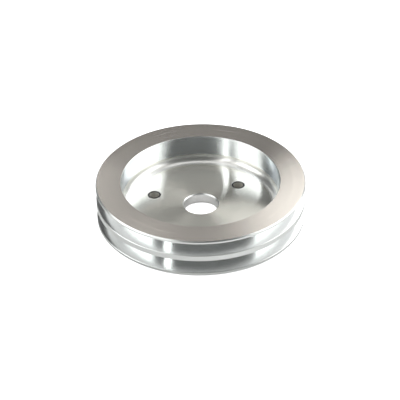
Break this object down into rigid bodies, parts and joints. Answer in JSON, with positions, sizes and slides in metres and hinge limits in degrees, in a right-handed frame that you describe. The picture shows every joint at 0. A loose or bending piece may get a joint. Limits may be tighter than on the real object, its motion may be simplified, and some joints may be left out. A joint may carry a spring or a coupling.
{
  "type": "two-groove v-belt pulley",
  "caption": "Turned billet V-belt pulley with twin grooves, a deep front recess, a bored web and bushed bolt holes; it drives engine accessories or a belt-driven blower.",
  "frame": {"origin": "centre of the rear mounting face, on the spin axis", "axes": "+Z along the spin axis towards the open recess; one bolt hole lies on -Y"},
  "size_m": [0.146, 0.146, 0.0283],
  "materials": {
    "turned_aluminium": "fine turned, satin faces and a bright recess wall",
    "bushing_steel": "dark oiled steel, turned"
  },
  "bodies": {
    "root": {"pulley": "turned_aluminium", "bolt_bushing_1": "bushing_steel", "bolt_bushing_2": "bushing_steel", "bolt_bushing_3": "bushing_steel"}
  },
  "joints": []
}
